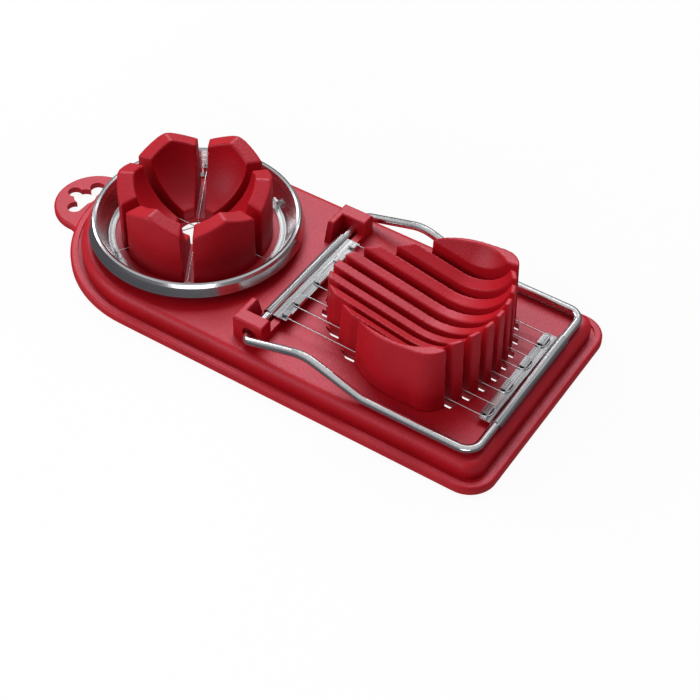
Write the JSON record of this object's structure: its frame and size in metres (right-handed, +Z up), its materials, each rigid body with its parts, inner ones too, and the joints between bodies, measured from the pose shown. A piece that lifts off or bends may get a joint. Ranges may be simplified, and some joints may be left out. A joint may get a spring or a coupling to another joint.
{
  "type": "egg slicer",
  "caption": "Kitchen egg slicer and wedger: plastic base with a ribbed slicing cradle under a hinged wire frame and a wedge cup inside a lift-off wire ring.",
  "frame": {"origin": "on the table under the middle of the overall box", "axes": "+X along the length from the hanging tab to the slicer end, +Z up, +Y to the far side"},
  "size_m": [0.2, 0.09, 0.0344],
  "materials": {
    "red_plastic": "fine-grained satin red moulding",
    "polished_steel": "polished stainless steel"
  },
  "bodies": {
    "base": {"base_plate": "red_plastic", "hanging_tab": "red_plastic", "hinge_block_near": "red_plastic", "hinge_block_far": "red_plastic", "wedge_petal_1": "red_plastic", "wedge_petal_2": "red_plastic", "wedge_petal_3": "red_plastic", "wedge_petal_4": "red_plastic", "wedge_petal_5": "red_plastic", "wedge_petal_6": "red_plastic", "cradle_rib_1": "red_plastic", "cradle_rib_2": "red_plastic", "cradle_rib_3": "red_plastic", "cradle_rib_4": "red_plastic", "cradle_rib_5": "red_plastic", "cradle_rib_6": "red_plastic", "cradle_rib_7": "red_plastic", "cradle_rib_8": "red_plastic", "cradle_rib_9": "red_plastic"},
    "slicer_frame": {"frame_rod": "polished_steel", "hinge_wire_holder": "polished_steel", "far_wire_holder": "polished_steel", "slicing_wire_1": "polished_steel", "slicing_wire_2": "polished_steel", "slicing_wire_3": "polished_steel", "slicing_wire_4": "polished_steel", "slicing_wire_5": "polished_steel", "slicing_wire_6": "polished_steel", "slicing_wire_7": "polished_steel", "slicing_wire_8": "polished_steel", "wire_turns": "polished_steel"},
    "cutting_ring": {"wedger_ring": "polished_steel", "wedge_wire_1": "polished_steel", "wedge_wire_2": "polished_steel", "wedge_wire_3": "polished_steel"}
  },
  "joints": [
    {"name": "frame_hinge", "type": "hinge", "parent": "base", "child": "slicer_frame", "pos_m": [0.0054, 0, 0.0114], "axis": [0, -1, 0], "range_deg": [0, 95]},
    {"name": "ring_lift", "type": "slide", "parent": "base", "child": "cutting_ring", "axis": [0, 0, 1], "range_m": [0, 0.03]}
  ]
}
